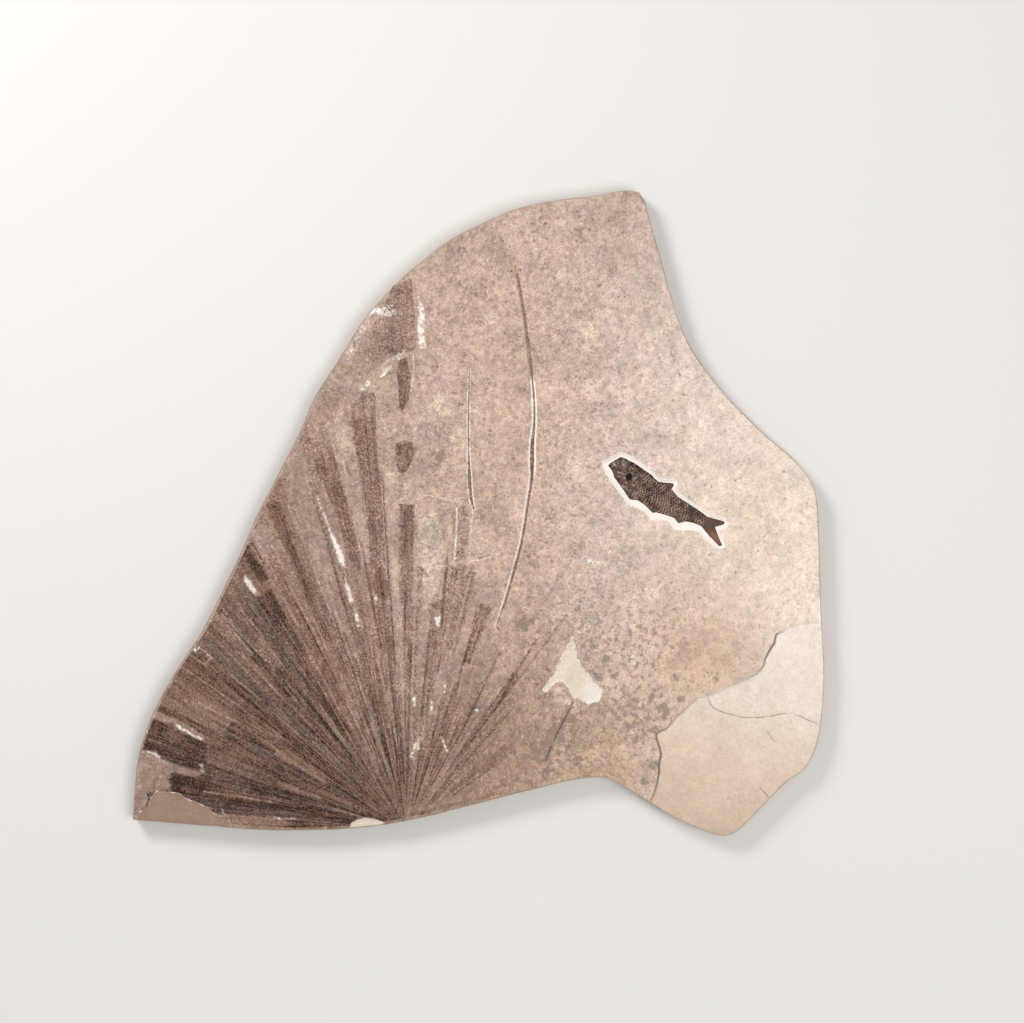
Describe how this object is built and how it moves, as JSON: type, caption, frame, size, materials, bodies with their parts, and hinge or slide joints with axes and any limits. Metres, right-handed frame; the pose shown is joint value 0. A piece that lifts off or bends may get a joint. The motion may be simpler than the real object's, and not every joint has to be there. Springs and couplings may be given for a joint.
{
  "type": "fossil slab with a fish and a fan palm frond",
  "caption": "Flat irregular slab of laminated limestone showing a fossil fish in a carved trench, a fan palm frond and narrow leaf blades.",
  "frame": {"origin": "middle of the flat back that the slab lies on", "axes": "+Z out of the fossil face, +X along the slab's width, +Y towards the blunt top corner"},
  "size_m": [0.9001, 0.8406, 0.0255],
  "materials": {
    "limestone": "matte",
    "fossil_bone": "matte",
    "leaf_film": "matte",
    "dark_leaf_film": "matte"
  },
  "bodies": {
    "root": {"stone_slab": "limestone", "fossil_fish": "fossil_bone", "palm_frond": "leaf_film", "long_leaf_blade": "dark_leaf_film", "short_leaf_blade": "dark_leaf_film", "leaf_strip": "dark_leaf_film", "leaf_scrap_top": "dark_leaf_film", "leaf_scrap_upper": "dark_leaf_film", "leaf_scrap_middle": "dark_leaf_film"}
  },
  "joints": []
}
